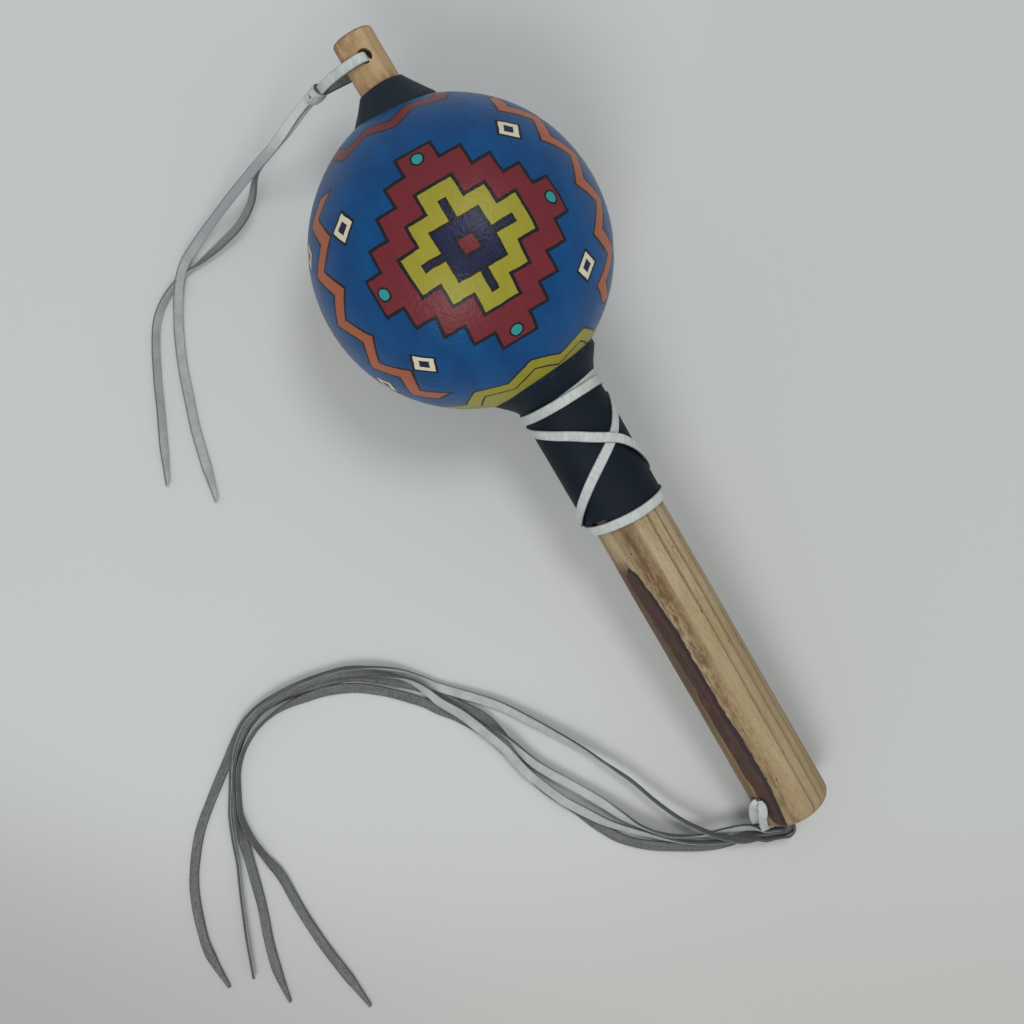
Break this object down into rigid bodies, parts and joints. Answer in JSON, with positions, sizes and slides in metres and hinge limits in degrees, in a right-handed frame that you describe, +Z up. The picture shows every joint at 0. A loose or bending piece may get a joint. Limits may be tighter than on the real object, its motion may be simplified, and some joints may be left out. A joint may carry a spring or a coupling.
{
  "type": "dance rattle",
  "caption": "Hand rattle: a hollow painted gourd on a wooden stick, with dark collars, a laced leather grip sleeve, white leather thongs and loose pebbles inside that sound when shaken.",
  "frame": {"origin": "on the surface that the rattle lies on, under the middle of its length and of the gourd's width, thongs left out", "axes": "+X along the stick's shadow from the butt to the peg, +Z up, +Y to the side where the thongs lie"},
  "size_m": [0.3077, 0.2556, 0.0969],
  "materials": {
    "painted_gourd": "satin paint",
    "stick_wood": "sanded",
    "collar_leather": "satin",
    "sleeve_leather": "satin",
    "white_lace": "suede back, smooth face",
    "pebble_stone": "matte stone"
  },
  "bodies": {
    "rattle": {"gourd_shell": "painted_gourd", "handle_stick": "stick_wood", "peg_collar": "collar_leather", "neck_collar": "collar_leather", "leather_sleeve": "sleeve_leather", "sleeve_lacing": "white_lace", "peg_thong_loop": "white_lace", "peg_thong_knot": "white_lace", "butt_thong_loops": "white_lace", "butt_thong_wrap": "white_lace", "peg_thong_tail_1": "white_lace", "peg_thong_tail_2": "white_lace", "butt_thong_tail_1": "white_lace", "butt_thong_tail_2": "white_lace", "butt_thong_tail_3": "white_lace", "butt_thong_tail_4": "white_lace"},
    "pebble_1": {"pebble_1": "pebble_stone"},
    "pebble_2": {"pebble_2": "pebble_stone"},
    "pebble_3": {"pebble_3": "pebble_stone"},
    "pebble_4": {"pebble_4": "pebble_stone"},
    "pebble_5": {"pebble_5": "pebble_stone"},
    "pebble_6": {"pebble_6": "pebble_stone"},
    "pebble_7": {"pebble_7": "pebble_stone"},
    "pebble_8": {"pebble_8": "pebble_stone"},
    "pebble_9": {"pebble_9": "pebble_stone"},
    "pebble_10": {"pebble_10": "pebble_stone"}
  },
  "joints": [
    {"name": "pebble_1_roll", "type": "hinge", "parent": "rattle", "child": "pebble_1", "pos_m": [0.07408, 0, 0.04844], "axis": [0.9869, 0, 0.1614], "continuous": true},
    {"name": "pebble_2_roll", "type": "hinge", "parent": "rattle", "child": "pebble_2", "pos_m": [0.07408, 0, 0.04844], "axis": [0.9869, 0, 0.1614], "continuous": true},
    {"name": "pebble_3_roll", "type": "hinge", "parent": "rattle", "child": "pebble_3", "pos_m": [0.07408, 0, 0.04844], "axis": [0.9869, 0, 0.1614], "continuous": true},
    {"name": "pebble_4_roll", "type": "hinge", "parent": "rattle", "child": "pebble_4", "pos_m": [0.07408, 0, 0.04844], "axis": [0.9869, 0, 0.1614], "continuous": true},
    {"name": "pebble_5_roll", "type": "hinge", "parent": "rattle", "child": "pebble_5", "pos_m": [0.07408, 0, 0.04844], "axis": [0.9869, 0, 0.1614], "continuous": true},
    {"name": "pebble_6_roll", "type": "hinge", "parent": "rattle", "child": "pebble_6", "pos_m": [0.07408, 0, 0.04844], "axis": [0.9869, 0, 0.1614], "continuous": true},
    {"name": "pebble_7_roll", "type": "hinge", "parent": "rattle", "child": "pebble_7", "pos_m": [0.07408, 0, 0.04844], "axis": [0.9869, 0, 0.1614], "continuous": true},
    {"name": "pebble_8_roll", "type": "hinge", "parent": "rattle", "child": "pebble_8", "pos_m": [0.07408, 0, 0.04844], "axis": [0.9869, 0, 0.1614], "continuous": true},
    {"name": "pebble_9_roll", "type": "hinge", "parent": "rattle", "child": "pebble_9", "pos_m": [0.07408, 0, 0.04844], "axis": [0.9869, 0, 0.1614], "continuous": true},
    {"name": "pebble_10_roll", "type": "hinge", "parent": "rattle", "child": "pebble_10", "pos_m": [0.07408, 0, 0.04844], "axis": [0.9869, 0, 0.1614], "continuous": true}
  ]
}
